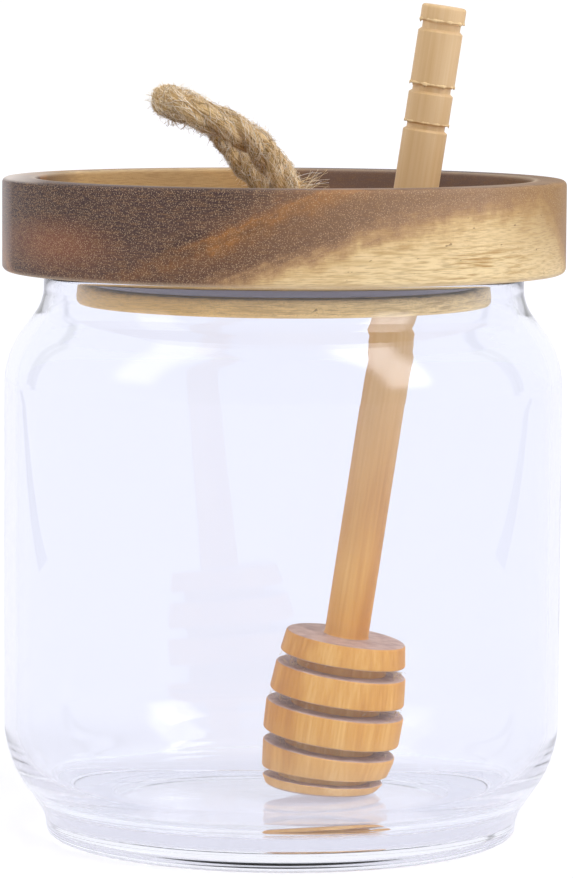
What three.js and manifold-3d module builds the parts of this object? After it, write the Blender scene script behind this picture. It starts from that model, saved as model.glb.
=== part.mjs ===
// Clear glass honey jar with a turned wooden lid, a silicone seal, a rope pull and a wooden honey dipper.
// Millimetres, +Z up, origin at the middle of the jar's base, +X to the right when seen from the front (-Y).
import * as THREE from "three";
import { mergeVertices } from "three/addons/utils/BufferGeometryUtils.js";
import Module from "manifold-3d";

// Gap kept between pieces that touch on the real jar
const CLEARANCE = 0.3;

// Jar outside: heights are where the straight runs of the profile would meet
const JAR_HEIGHT = 106.2;
const BODY_RADIUS = 52.6;
const NECK_RADIUS = 45.2;
const FOOT_RADIUS = 44.6;
const HEEL_BOTTOM = 3.7;
const HEEL_TOP = 15.2;
const SHOULDER_BOTTOM = 90.8;
const SHOULDER_TOP = 100.7;
const FOOT_ROUND = 1.3;
const HEEL_ROUND = 2.3;
const BODY_ROUND = 6;
const SHOULDER_ROUND = 5;
const NECK_ROUND = 2.5;
const PUNT_RADIUS = 33;
const PUNT_SLOPE = 3;
const PUNT_HEIGHT = 0.8;

// Jar inside: a wall that follows the outside, a low step above the foot, and a shallow dished floor
const WALL = 2.2;
const NECK_WALL = 1.95;
const SHOULDER_DROP = 1.1;
const INNER_SHOULDER_ROUND = 4.3;
const INNER_NECK_ROUND = 3.2;
const INNER_HEEL_TOP = 15.9;
const INNER_HEEL_ROUND = 5;
const STEP_TOP_RADIUS = 44.8;
const STEP_TOP = 9.6;
const STEP_BOTTOM_RADIUS = 44.2;
const STEP_BOTTOM = 7.4;
const STEP_ROUND = 1.2;
const DISH_RADIUS = 38;
const DISH_EDGE = 3.5;
const DISH_ROUND = 3;
const FLOOR_HEIGHT = 3.05;

// Lid, turned from one board: a shallow tray above, a plug below
const LID_RADIUS = 53;
const LID_BOTTOM = JAR_HEIGHT + CLEARANCE;
const LID_TOP = 124;
const LID_BOTTOM_ROUND = 1.2;
const LID_TOP_ROUND = 1;
const RIM_WIDTH = 6.4;
const RIM_ROUND = 0.8;
const RECESS_DEPTH = 7;
const RECESS_ROUND = 3;
const PLUG_RADIUS = 39.1;
const PLUG_BOTTOM = 99.8;
const PLUG_TOP = 103.5;
const PLUG_ROUND = 0.9;
const SEAL_GROOVE_RADIUS = 36.4;

// Seal: a ring in the plug's groove with a thin lip that reaches the glass
const SEAL_RADIUS = 38.9;
const SEAL_LIP_RADIUS = NECK_RADIUS - NECK_WALL - CLEARANCE - 0.05;
const SEAL_LIP_HEIGHT = 0.8;
const SEAL_ROUND = 0.4;

// Dipper: a ribbed head and a handle with three turned grooves, leaning through the lid
const DIPPER_LENGTH = 153.2;
const DIPPER_FOOT_X = 7.6;
const DIPPER_FOOT_Y = 3.2;
const DIPPER_LEAN_X = 0.146;
const DIPPER_LEAN_Y = -0.03;
const HEAD_RIBS = [
  { bottom: 10.6, top: 11.8, height: 3.4 },
  { bottom: 12.15, top: 12.75, height: 5.5 },
  { bottom: 13.05, top: 13.25, height: 5.8 },
  { bottom: 12.95, top: 12.45, height: 5.5 },
  { bottom: 12.07, top: 11.4, height: 4.3 },
];
const HEAD_GROOVE_WIDTH = 2;
const HEAD_CORE_RADIUS = 8.6;
const HEAD_END_ROUND = 1.2;
const RIB_ROUND = 0.5;
const HANDLE_RADIUS = 4.2;
const HANDLE_ROUND = 0.6;
const HANDLE_GROOVES = [
  { fromTop: 22.8, width: 1.7 },
  { fromTop: 15.7, width: 1.9 },
  { fromTop: 3.9, width: 2.2 },
];
const HANDLE_GROOVE_DEPTH = 0.6;
const HANDLE_GROOVE_FLAT = 0.5;

// Holes in the lid
const DIPPER_HOLE_RADIUS = 6.2;
const HOLE_CHAMFER = 0.7;
const CUT_BEYOND = 1;
const ROPE_HOLE_DEPTH = 8;
const ROPE_HOLE_GAP = 0.45;

// Rope pull: one loop whose two legs stand in blind holes in the middle of the lid
const ROPE_DIAMETER = 5.6;
const ROPE_ROUTE = [
  [2.2, -3.2, 109.4],
  [2.2, -3.2, 113.5],
  [2.2, -3.2, 117.4],
  [1.5, -3.3, 121],
  [-0.8, -3.8, 124.5],
  [-3.3, -4.8, 128.2],
  [-6, -6.2, 131],
  [-9.9, -7.8, 133.6],
  [-14.3, -8.8, 135.5],
  [-18.4, -8, 137.2],
  [-21.3, -4.9, 138.1],
  [-22.3, 0, 138.3],
  [-21.3, 4.9, 138],
  [-18.2, 8, 136.9],
  [-14.8, 8.6, 135.1],
  [-12, 7.7, 132.9],
  [-10.1, 6.7, 130.3],
  [-8.3, 5.7, 127.9],
  [-6, 4.7, 125.4],
  [-3.6, 3.8, 122.4],
  [-2.1, 3.3, 119.4],
  [-1.6, 3.2, 116],
  [-1.6, 3.2, 113],
  [-1.6, 3.2, 109.4],
];

// Fineness of the faceted solids
const JAR_SIDES = 48;
const LID_SIDES = 48;
const DIPPER_SIDES = 20;
const HOLE_SIDES = 20;
const ROPE_SIDES = 10;
const ROPE_STEPS = 48;
const SMALL_ROUND_STEPS = 2;
const LARGE_ROUND_STEPS = 4;
const LARGE_ROUND = 2;

const wasm = await Module();
wasm.setup();

// A solid of revolution about Z from the corners of its profile, which runs up the outside.
// A corner is [radius, height, round], and round is the length of each straight run that its curve takes up.
function turned(corners, sides) {
  const points = [];
  corners.forEach(([radius, height, round = 0], index) => {
    const corner = new THREE.Vector2(radius, height);
    if (!round) {
      points.push(corner);
      return;
    }
    const steps = round < LARGE_ROUND ? SMALL_ROUND_STEPS : LARGE_ROUND_STEPS;
    const [before, after] = [corners[index - 1], corners[index + 1]].map(([r, h]) =>
      new THREE.Vector2(r, h).sub(corner).setLength(round).add(corner),
    );
    points.push(...new THREE.QuadraticBezierCurve(before, corner, after).getPoints(steps));
  });
  return new THREE.LatheGeometry(points, sides).rotateX(Math.PI / 2);
}

function solidOf(geometry) {
  const bare = geometry.clone();
  bare.deleteAttribute("normal");
  bare.deleteAttribute("uv");
  const merged = mergeVertices(bare, 1e-3);
  return new wasm.Manifold(
    new wasm.Mesh({
      numProp: 3,
      vertProperties: new Float32Array(merged.attributes.position.array),
      triVerts: new Uint32Array(merged.index.array),
    }),
  );
}

function geometryOf(solid) {
  const mesh = solid.getMesh();
  return new THREE.BufferGeometry()
    .setAttribute("position", new THREE.BufferAttribute(mesh.vertProperties, 3))
    .setIndex(new THREE.BufferAttribute(mesh.triVerts, 1));
}

function finish(color, roughness, extra = {}) {
  return new THREE.MeshStandardMaterial({ color, roughness, metalness: 0, ...extra });
}

function named(name, geometry, material) {
  const mesh = new THREE.Mesh(geometry, material);
  mesh.name = name;
  return mesh;
}

// The glass jar: foot, heel, straight body, sloping shoulder and upright neck, open at the top.
function jarGeometry() {
  const insideBody = BODY_RADIUS - WALL;
  const insideNeck = NECK_RADIUS - NECK_WALL;
  const rimRound = NECK_WALL / 2;
  return turned(
    [
      [0, PUNT_HEIGHT],
      [PUNT_RADIUS - PUNT_SLOPE, PUNT_HEIGHT],
      [PUNT_RADIUS, 0],
      [FOOT_RADIUS, 0, FOOT_ROUND],
      [FOOT_RADIUS, HEEL_BOTTOM, HEEL_ROUND],
      [BODY_RADIUS, HEEL_TOP, BODY_ROUND],
      [BODY_RADIUS, SHOULDER_BOTTOM, SHOULDER_ROUND],
      [NECK_RADIUS, SHOULDER_TOP, NECK_ROUND],
      [NECK_RADIUS, JAR_HEIGHT, rimRound],
      [insideNeck, JAR_HEIGHT, rimRound],
      [insideNeck, SHOULDER_TOP - SHOULDER_DROP, INNER_NECK_ROUND],
      [insideBody, SHOULDER_BOTTOM - SHOULDER_DROP, INNER_SHOULDER_ROUND],
      [insideBody, INNER_HEEL_TOP, INNER_HEEL_ROUND],
      [STEP_TOP_RADIUS, STEP_TOP, STEP_ROUND],
      [STEP_BOTTOM_RADIUS, STEP_BOTTOM, STEP_ROUND],
      [DISH_RADIUS, DISH_EDGE, DISH_ROUND],
      [0, FLOOR_HEIGHT],
    ],
    JAR_SIDES,
  );
}

// Five ribs with square grooves between them, then the plain handle with its three turned grooves.
function dipperCorners() {
  const corners = [[0, 0]];
  let height = 0;
  HEAD_RIBS.forEach((rib, index) => {
    if (index > 0) {
      corners.push([HEAD_CORE_RADIUS, height], [HEAD_CORE_RADIUS, height + HEAD_GROOVE_WIDTH]);
      height += HEAD_GROOVE_WIDTH;
    }
    corners.push([rib.bottom, height, index > 0 ? RIB_ROUND : HEAD_END_ROUND]);
    height += rib.height;
    corners.push([rib.top, height, RIB_ROUND]);
  });
  corners.push([HANDLE_RADIUS, height, HANDLE_ROUND]);
  for (const { fromTop, width } of HANDLE_GROOVES) {
    const middle = DIPPER_LENGTH - fromTop;
    const flat = (HANDLE_GROOVE_FLAT * width) / 2;
    corners.push(
      [HANDLE_RADIUS, middle - width / 2],
      [HANDLE_RADIUS - HANDLE_GROOVE_DEPTH, middle - flat],
      [HANDLE_RADIUS - HANDLE_GROOVE_DEPTH, middle + flat],
      [HANDLE_RADIUS, middle + width / 2],
    );
  }
  corners.push([HANDLE_RADIUS, DIPPER_LENGTH, HANDLE_ROUND], [0, DIPPER_LENGTH]);
  return corners;
}

// The dipper stands on the low edge of its end face, just clear of the jar's floor.
function dipperPlace() {
  const axis = new THREE.Vector3(DIPPER_LEAN_X, DIPPER_LEAN_Y, 1).normalize();
  const lowEdge = HEAD_RIBS[0].bottom - HEAD_END_ROUND / 2;
  const drop = lowEdge * Math.sin(Math.acos(axis.z));
  const foot = new THREE.Vector3(DIPPER_FOOT_X, DIPPER_FOOT_Y, FLOOR_HEIGHT + CLEARANCE + drop);
  return { axis, foot };
}

function alongDipper({ axis, foot }, height) {
  return foot.clone().addScaledVector(axis, (height - foot.z) / axis.z);
}

// What a drill takes out of the lid at (x, y): a bore with its mouth, and its far end if it goes through, eased.
function bore(x, y, radius, bottom, top, through) {
  const eased = radius + HOLE_CHAMFER + CUT_BEYOND;
  const farEnd = through
    ? [
        [0, bottom - CUT_BEYOND],
        [eased, bottom - CUT_BEYOND],
        [radius, bottom + HOLE_CHAMFER],
      ]
    : [
        [0, bottom],
        [radius, bottom],
      ];
  const mouth = [
    [radius, top - HOLE_CHAMFER],
    [eased, top + CUT_BEYOND],
    [0, top + CUT_BEYOND],
  ];
  return solidOf(turned([...farEnd, ...mouth], HOLE_SIDES).translate(x, y, 0));
}

// The lid: plug, seal groove, broad underside, round-edged side, rim and recessed top, with three holes.
function lidGeometry(place) {
  const recessFloor = LID_TOP - RECESS_DEPTH;
  const recessRadius = LID_RADIUS - RIM_WIDTH;
  let lid = solidOf(
    turned(
      [
        [0, PLUG_BOTTOM],
        [PLUG_RADIUS, PLUG_BOTTOM, PLUG_ROUND],
        [PLUG_RADIUS, PLUG_TOP, PLUG_ROUND],
        [SEAL_GROOVE_RADIUS, PLUG_TOP],
        [SEAL_GROOVE_RADIUS, LID_BOTTOM],
        [LID_RADIUS, LID_BOTTOM, LID_BOTTOM_ROUND],
        [LID_RADIUS, LID_TOP, LID_TOP_ROUND],
        [recessRadius, LID_TOP, RIM_ROUND],
        [recessRadius, recessFloor, RECESS_ROUND],
        [0, recessFloor],
      ],
      LID_SIDES,
    ),
  );
  const { x, y } = alongDipper(place, (PLUG_BOTTOM + recessFloor) / 2);
  lid = lid.subtract(bore(x, y, DIPPER_HOLE_RADIUS, PLUG_BOTTOM, recessFloor, true));
  const ropeHoleRadius = ROPE_DIAMETER / 2 + ROPE_HOLE_GAP;
  const ropeHoleBottom = recessFloor - ROPE_HOLE_DEPTH;
  for (const [legX, legY] of [ROPE_ROUTE[0], ROPE_ROUTE.at(-1)]) {
    lid = lid.subtract(bore(legX, legY, ropeHoleRadius, ropeHoleBottom, recessFloor, false));
  }
  return geometryOf(lid);
}

// The seal fills the groove above the plug's flange, and its lip runs out under the lid to the glass.
function sealGeometry() {
  const inside = SEAL_GROOVE_RADIUS + CLEARANCE;
  const bottom = PLUG_TOP + CLEARANCE;
  const top = LID_BOTTOM - CLEARANCE;
  const underLip = top - SEAL_LIP_HEIGHT;
  return turned(
    [
      [inside, bottom],
      [SEAL_RADIUS, bottom, SEAL_ROUND],
      [SEAL_RADIUS, underLip, SEAL_ROUND],
      [SEAL_LIP_RADIUS, underLip],
      [SEAL_LIP_RADIUS, top],
      [inside, top],
      [inside, bottom],
    ],
    LID_SIDES,
  );
}

function ropeGeometry() {
  const route = new THREE.CatmullRomCurve3(ROPE_ROUTE.map((point) => new THREE.Vector3(...point)));
  const section = new THREE.Shape().absarc(0, 0, ROPE_DIAMETER / 2, 0, 2 * Math.PI);
  return new THREE.ExtrudeGeometry(section, {
    steps: ROPE_STEPS,
    curveSegments: ROPE_SIDES / 2,
    extrudePath: route,
  });
}

const place = dipperPlace();
const dipper = named("dipper", turned(dipperCorners(), DIPPER_SIDES), finish("#d9b285", 0.6));
dipper.position.copy(place.foot);
dipper.quaternion.setFromUnitVectors(new THREE.Vector3(0, 0, 1), place.axis);

const honeyJar = new THREE.Group();
honeyJar.add(
  named("glass_jar", jarGeometry(), finish("#eef0fb", 0.03, { transparent: true, opacity: 0.25 })),
  named("wood_lid", lidGeometry(place), finish("#8d6748", 0.55)),
  named("silicone_seal", sealGeometry(), finish("#d6d4e2", 0.45, { transparent: true, opacity: 0.7 })),
  dipper,
  named("rope_loop", ropeGeometry(), finish("#a68a5c", 0.95)),
);

export default honeyJar;
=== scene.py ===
"""A clear glass honey jar with a turned wooden lid, a jute pull and a wooden honey dipper."""

import math
import random
from types import SimpleNamespace

import bmesh
import bpy
from mathutils import Matrix, Vector, noise
from mathutils.geometry import interpolate_bezier


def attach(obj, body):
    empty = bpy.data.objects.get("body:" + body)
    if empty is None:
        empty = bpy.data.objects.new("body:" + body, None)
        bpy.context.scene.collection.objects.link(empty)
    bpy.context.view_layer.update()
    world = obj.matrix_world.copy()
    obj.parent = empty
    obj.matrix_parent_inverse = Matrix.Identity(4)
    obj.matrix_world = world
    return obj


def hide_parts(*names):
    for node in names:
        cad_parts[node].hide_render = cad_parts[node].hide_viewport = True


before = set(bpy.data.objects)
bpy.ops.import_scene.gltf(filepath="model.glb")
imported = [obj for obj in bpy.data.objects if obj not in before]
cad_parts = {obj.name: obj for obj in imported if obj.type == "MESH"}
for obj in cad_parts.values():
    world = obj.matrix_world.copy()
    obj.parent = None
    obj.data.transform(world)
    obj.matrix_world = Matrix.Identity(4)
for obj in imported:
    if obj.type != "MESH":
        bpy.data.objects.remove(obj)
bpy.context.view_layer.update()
scene = bpy.context.scene
dice = random.Random(7)

# All sizes of the object are in millimetres, and Blender's are in metres
MM = 0.001
BODY = "root"

# Jar: radius, height and rounding of each corner, up the outside and down the inside
JAR_FLOOR = 3.05
JAR_CORNERS = [
    (0, 0.8),
    (30, 0.8),
    (33, 0),
    (44.6, 0, 1.3),
    (44.6, 3.7, 2.3),
    (52.6, 15.2, 6),
    (52.6, 90.8, 5),
    (45.2, 100.7, 2.5),
    (45.2, 106.2, 0.975),
    (43.25, 106.2, 0.975),
    (43.25, 99.6, 3.2),
    (50.4, 89.7, 4.3),
    (50.4, 15.9, 5),
    (44.8, 9.6, 1.2),
    (44.2, 7.4, 1.2),
    (38, 3.5, 3),
    (0, JAR_FLOOR),
]

# Room between pieces that would otherwise touch
CLEARANCE = 0.3

# Lid: its corners in the same way, from the middle of the plug's underside to the middle of the tray
PLUG_BOTTOM = 99.8
PLUG_TOP = 103.5
LID_BOTTOM = 106.5
LID_TOP = 124
TRAY_FLOOR = 117
TRAY_RADIUS = 46.6
LID_CORNERS = [
    (0, PLUG_BOTTOM),
    (39.1, PLUG_BOTTOM, 0.9),
    (39.1, PLUG_TOP, 0.9),
    (36.4, PLUG_TOP),
    (36.4, LID_BOTTOM),
    (53, LID_BOTTOM, 1.2),
    (53, LID_TOP, 1),
    (TRAY_RADIUS, LID_TOP, 0.8),
    (TRAY_RADIUS, TRAY_FLOOR, 3),
    (0, TRAY_FLOOR),
]
DIPPER_HOLE_RADIUS = 6.2
ROPE_HOLE_RADIUS = 3.25
ROPE_HOLE_DEPTH = 8
HOLE_CHAMFER = 0.7
CUT_BEYOND = 1

# Seal: the corners of a closed section with a thin lip at its top
SEAL_CORNERS = [
    (36.7, PLUG_TOP + CLEARANCE),
    (38.9, PLUG_TOP + CLEARANCE, 0.4),
    (38.9, 105.4),
    (42.9, 105.4, 0.2),
    (42.9, 106.2, 0.2),
    (36.7, 106.2),
]

# Dipper: ribs from its end up, as lower radius, upper radius, height; and the handle's grooves
DIPPER_LENGTH = 153.2
DIPPER_FOOT = (7.6, 3.2)
DIPPER_LEAN = (0.146, -0.03)
HEAD_RIBS = [
    (10.6, 11.8, 3.4),
    (12.15, 12.75, 5.5),
    (13.05, 13.25, 5.8),
    (12.95, 12.45, 5.5),
    (12.07, 11.4, 4.3),
]
HEAD_GROOVE_WIDTH = 2
HEAD_CORE_RADIUS = 8.6
HEAD_END_ROUND = 1.2
RIB_ROUND = 0.5
HANDLE_RADIUS = 4.2
HANDLE_ROUND = 0.6
HANDLE_GROOVES = [(22.8, 1.7), (15.7, 1.9), (3.9, 2.2)]
HANDLE_GROOVE_DEPTH = 0.6
HANDLE_GROOVE_FLAT = 0.5

# Rope: three strands laid together along one loop between two holes in the lid
ROPE_DIAMETER = 5.6
ROPE_ROUTE = [
    (2.2, -3.2, 109.4),
    (2.2, -3.2, 113.5),
    (2.2, -3.2, 117.4),
    (1.5, -3.3, 121),
    (-0.8, -3.8, 124.5),
    (-3.3, -4.8, 128.2),
    (-6, -6.2, 131),
    (-9.9, -7.8, 133.6),
    (-14.3, -8.8, 135.5),
    (-18.4, -8, 137.2),
    (-21.3, -4.9, 138.1),
    (-22.3, 0, 138.3),
    (-21.3, 4.9, 138),
    (-18.2, 8, 136.9),
    (-14.8, 8.6, 135.1),
    (-12, 7.7, 132.9),
    (-10.1, 6.7, 130.3),
    (-8.3, 5.7, 127.9),
    (-6, 4.7, 125.4),
    (-3.6, 3.8, 122.4),
    (-2.1, 3.3, 119.4),
    (-1.6, 3.2, 116),
    (-1.6, 3.2, 113),
    (-1.6, 3.2, 109.4),
]
ROPE_STRANDS = 3
ROPE_LAY = 20
STRAND_RADIUS = 1.6
STRAND_OFFSET = ROPE_DIAMETER / 2 - STRAND_RADIUS


# Camera

FOCAL_PIXELS = 4500
PICTURE_LONG_SIDE = 879
SENSOR = 36
CAMERA_PLACE = (0, -0.84666, 0.15747)
CAMERA_PITCH = 0.0976
CAMERA_YAW = -0.0008
CAMERA_ROLL = 0.0064


def set_camera():
    data = bpy.data.cameras.new("camera")
    data.sensor_width = SENSOR
    data.lens = SENSOR * FOCAL_PIXELS / PICTURE_LONG_SIDE
    camera = bpy.data.objects.new("camera", data)
    scene.collection.objects.link(camera)
    turn = (
        Matrix.Rotation(CAMERA_YAW, 4, "Z")
        @ Matrix.Rotation(math.pi / 2 - CAMERA_PITCH, 4, "X")
        @ Matrix.Rotation(CAMERA_ROLL, 4, "Z")
    )
    camera.matrix_world = Matrix.Translation(CAMERA_PLACE) @ turn
    scene.camera = camera


# Modelling

LONGEST_RUN = 3
MERGE = 1e-7
WIDE_STEPS = 192
DIPPER_STEPS = 96
LIP_STEPS = 180
DRILL_STEPS = 48
SHARP_EDGE = math.radians(35)
GLASS_SHARP_EDGE = math.radians(50)
NO_SHARP_EDGE = math.pi


def turned(corners, steps, segments=6, closed=False):
    """A turned solid: a rounded wire through the corners, cut into short runs and spun about Z."""
    bm = bmesh.new()
    wire = [bm.verts.new((corner[0] * MM, 0, corner[1] * MM)) for corner in corners]
    ends = wire[1:] + wire[:1] if closed else wire[1:]
    for start, end in zip(wire, ends):
        bm.edges.new((start, end))
    for vert, corner in zip(wire, corners):
        if len(corner) > 2:
            bmesh.ops.bevel(
                bm,
                geom=[vert],
                offset=corner[2] * MM,
                offset_type="OFFSET",
                affect="VERTICES",
                segments=segments,
                profile=0.5,
                material=-1,
            )
    for edge in bm.edges[:]:
        cuts = int(edge.calc_length() / (LONGEST_RUN * MM))
        if cuts:
            bmesh.ops.subdivide_edges(bm, edges=[edge], cuts=cuts)
    bmesh.ops.spin(
        bm,
        geom=bm.verts[:] + bm.edges[:],
        cent=(0, 0, 0),
        axis=(0, 0, 1),
        angle=math.tau,
        steps=steps,
        use_merge=True,
    )
    bmesh.ops.remove_doubles(bm, verts=bm.verts[:], dist=MERGE)
    bmesh.ops.recalc_face_normals(bm, faces=bm.faces[:])
    return bm


def made_object(name, bm):
    """A new object of the scene, with the mesh that was modelled."""
    mesh = bpy.data.meshes.new(name)
    bm.to_mesh(mesh)
    bm.free()
    made = bpy.data.objects.new(name, mesh)
    scene.collection.objects.link(made)
    return made


def final_mesh(made):
    """The mesh of an object as it is drawn, with its bevels and cuts."""
    drawn = bpy.context.evaluated_depsgraph_get()
    return bpy.data.meshes.new_from_object(made.evaluated_get(drawn))


def finished(made, material, node=None, sharp=SHARP_EDGE):
    """Gives a piece its shading, finish and body, and hides the solid that it stands for."""
    made.data.shade_smooth()
    made.data.set_sharp_from_angle(angle=sharp)
    made.data.materials.clear()
    made.data.materials.append(material)
    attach(made, BODY)
    if node:
        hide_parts(node)
    return made


# Materials


def colour(code):
    """An sRGB hex colour as linear red, green, blue and alpha."""
    shares = [int(code[i : i + 2], 16) / 255 for i in (1, 3, 5)]
    return tuple(c / 12.92 if c <= 0.04045 else ((c + 0.055) / 1.055) ** 2.4 for c in shares) + (1,)


# A Mix node's two colours, which share their names with its other inputs
COLOUR_A, COLOUR_B = 6, 7


def connect(tree, node, inputs):
    """Sets or links a node's inputs, by name or number, with colours as hex codes."""
    for key, value in inputs.items():
        if isinstance(value, bpy.types.Node):
            value = next(socket for socket in value.outputs if socket.enabled)
        if isinstance(value, bpy.types.NodeSocket):
            tree.links.new(value, node.inputs[key])
        else:
            node.inputs[key].default_value = colour(value) if isinstance(value, str) else value


def add(tree, kind, inputs, stops=(), **settings):
    """Adds a node with its settings, its inputs and the stops of a colour ramp."""
    made = tree.nodes.new("ShaderNode" + kind)
    for name, value in settings.items():
        setattr(made, name, value)
    connect(tree, made, inputs)
    if stops:
        points = made.color_ramp.elements
        while len(points) < len(stops):
            points.new(1)
        for point, (at, code) in zip(points, stops):
            point.position = at
            point.color = colour(code)
    return made


def started(name, **sockets):
    """A material with a Principled shader whose constant sockets are set."""
    made = bpy.data.materials.new(name)
    made.use_nodes = True
    shader = made.node_tree.nodes["Principled BSDF"]
    connect(made.node_tree, shader, {key.replace("_", " "): value for key, value in sockets.items()})
    return made, made.node_tree, shader


def soda_lime_glass():
    """Pressed soda-lime glass: clear, with a cool lilac cast and walls that aren't quite even."""
    made, tree, shader = started(
        "soda_lime_glass",
        Base_Color="#fafbfe",
        Roughness=0.0,
        IOR=1.5,
        Transmission_Weight=1.0,
    )
    place = add(tree, "TexCoord", {}).outputs["Object"]
    # Slow waves in the wall, 22 mm long
    sway = add(tree, "TexNoise", {"Vector": place, "Scale": 1 / (22 * MM), "Detail": 1})
    bump = add(tree, "Bump", {"Height": sway, "Strength": 0.25, "Distance": 0.1 * MM})
    connect(tree, shader, {"Normal": bump})
    return made


# Acacia: colours from the sapwood into the heartwood, and the heights where its layers begin and end
LAYER_COLOURS = [
    (0.0, "#e5cd9d"),
    (0.125, "#dec392"),
    (0.18, "#ceae7c"),
    (0.225, "#ae8b62"),
    (0.265, "#82634a"),
    (0.31, "#63493b"),
    (0.40, "#6b4c39"),
    (0.44, "#805838"),
    (0.465, "#976538"),
    (0.49, "#7c553a"),
    (0.53, "#654a3c"),
    (0.62, "#4b3a36"),
    (1.0, "#403231"),
]
LAYERS_START = 101
LAYERS_END = 141

# Radii on the rim: where the inside of the tray gives way to the outside, and the band at its mouth that
# carries a painted highlight
INSIDE_RADIUS = TRAY_RADIUS + 0.3
OUTSIDE_RADIUS = TRAY_RADIUS + 0.8
MOUTH_RADIUS = TRAY_RADIUS + 0.6
RIM_RADIUS = TRAY_RADIUS + 1.6


def acacia_places(tree):
    """Where a point of the lid is, in millimetres, and how far it is from the lid's axis."""
    place = add(tree, "TexCoord", {}).outputs["Object"]
    inmm = add(tree, "Mapping", {"Vector": place, "Scale": (1 / MM,) * 3})
    x, y, z = add(tree, "SeparateXYZ", {"Vector": inmm}).outputs
    around = add(tree, "CombineXYZ", {"X": x, "Y": y})
    radius = add(tree, "VectorMath", {0: around}, operation="LENGTH").outputs["Value"]
    return SimpleNamespace(inmm=inmm, x=x, y=y, z=z, radius=radius)


def distance_from(tree, at, middle, reach):
    """How far a point of the lid is from a middle, as a share of the reach along each axis."""
    away = [-there / far for there, far in zip(middle, reach)]
    moved = add(
        tree,
        "Mapping",
        {"Vector": at.inmm, "Scale": [1 / far for far in reach], "Location": away},
    )
    return add(tree, "VectorMath", {0: moved}, operation="LENGTH").outputs["Value"]


def acacia_layers(tree, at):
    """How deep in the growth layers a point is, from 0 in the sapwood to 1 in the heartwood."""
    # The layers rise to the right at the front and to the left at the back
    slope = add(
        tree,
        "MapRange",
        {"Value": at.y, "From Min": -25, "From Max": 25, "To Min": -0.42, "To Max": 0.34},
    )
    rise = add(tree, "Math", {0: at.x, 1: slope, 2: at.z}, operation="MULTIPLY_ADD")
    # and level out towards the right end
    bend = add(tree, "MapRange", {"Value": at.x, "From Min": 18, "From Max": 53, "To Max": 9.8})
    layer = add(tree, "Math", {0: rise, 1: bend}, operation="ADD")
    at.along = add(tree, "CombineXYZ", {"X": at.x, "Y": at.y, "Z": layer})
    at.wander = add(tree, "TexNoise", {"Vector": at.inmm, "Scale": 1 / 19, "Detail": 2})
    drawn = add(tree, "Mapping", {"Vector": at.along, "Scale": (1 / 20, 1 / 20, 1 / 1.5)})
    streak = add(tree, "TexNoise", {"Vector": drawn, "Scale": 1, "Detail": 4, "Roughness": 0.6})
    mottle = add(tree, "TexNoise", {"Vector": at.inmm, "Scale": 1 / 3, "Detail": 4, "Roughness": 0.7})
    # Each pattern moves the layers by up to so many millimetres, and by half of that on average
    uneven = [(at.wander, 9), (streak, 5), (mottle, 7)]
    usual = sum(most for _, most in uneven) / 2
    depth = layer
    for pattern, most in uneven:
        depth = add(tree, "Math", {0: pattern, 1: most, 2: depth}, operation="MULTIPLY_ADD")
    share = add(
        tree,
        "MapRange",
        {"Value": depth, "From Min": LAYERS_START + usual, "From Max": LAYERS_END + usual},
    )
    at.heart = add(tree, "MapRange", {"Value": share, "From Min": 0.15, "From Max": 0.27})
    at.sap = add(tree, "Math", {0: 1, 1: at.heart}, operation="SUBTRACT")
    return share


def heartwood_tints(tree, at):
    """The darker, warmer and paler parts of the wood, each as its cover and colour."""
    # Darker clouds at the left, 16 mm long and 5 mm high
    cloudy = add(tree, "Mapping", {"Vector": at.along, "Scale": (1 / 16, 1 / 16, 1 / 5)})
    cloud = add(tree, "TexNoise", {"Vector": cloudy, "Scale": 1, "Detail": 3})
    gloom = add(tree, "MapRange", {"Value": cloud, "From Min": 0.5, "From Max": 0.68, "To Max": 0.7})
    leftmost = add(tree, "MapRange", {"Value": at.x, "From Min": 5, "From Max": -15, "To Max": gloom})
    clouded = add(tree, "Math", {0: leftmost, 1: at.heart}, operation="MULTIPLY")
    # A darker band across the layers, left of the middle of the front
    offset = add(tree, "Math", {0: at.x, 1: 27}, operation="ADD")
    away = add(tree, "Math", {0: offset}, operation="ABSOLUTE")
    dusky = add(
        tree,
        "MapRange",
        {"Value": away, "From Min": 4, "From Max": 14, "To Min": 0.65, "To Max": 0},
    )
    # A warmer patch at the left of the front
    far = distance_from(tree, at, middle=(-41, -33, 113), reach=(11, 60, 4.5))
    warm = add(
        tree,
        "MapRange",
        {"Value": far, "From Min": 0.3, "From Max": 1.3, "To Min": 0.85, "To Max": 0},
    )
    # Paler heartwood towards the right of the front
    rightward = add(tree, "MapRange", {"Value": at.x, "From Min": -10, "From Max": 36, "To Max": 0.58})
    forward = add(tree, "MapRange", {"Value": at.y, "From Min": 10, "From Max": -10, "To Max": at.heart})
    paler = add(tree, "Math", {0: rightward, 1: forward}, operation="MULTIPLY")
    # A browner right end, most of all at its top
    high = add(
        tree,
        "MapRange",
        {"Value": at.z, "From Min": 107, "From Max": 119, "To Min": 0.1, "To Max": 0.8},
    )
    right_end = add(tree, "MapRange", {"Value": at.x, "From Min": 36, "From Max": 50, "To Max": high})
    # Honey-coloured wood at the left of the back
    leftward = add(tree, "MapRange", {"Value": at.x, "From Min": 6, "From Max": -10, "To Max": 0.75})
    back_left = add(tree, "MapRange", {"Value": at.y, "From Min": 5, "From Max": 25, "To Max": leftward})
    return [
        (clouded, "#312829"),
        (dusky, "#4d3c39"),
        (warm, "#7c513d"),
        (paler, "#b19070"),
        (right_end, "#936d36"),
        (back_left, "#cba975"),
    ]


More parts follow.
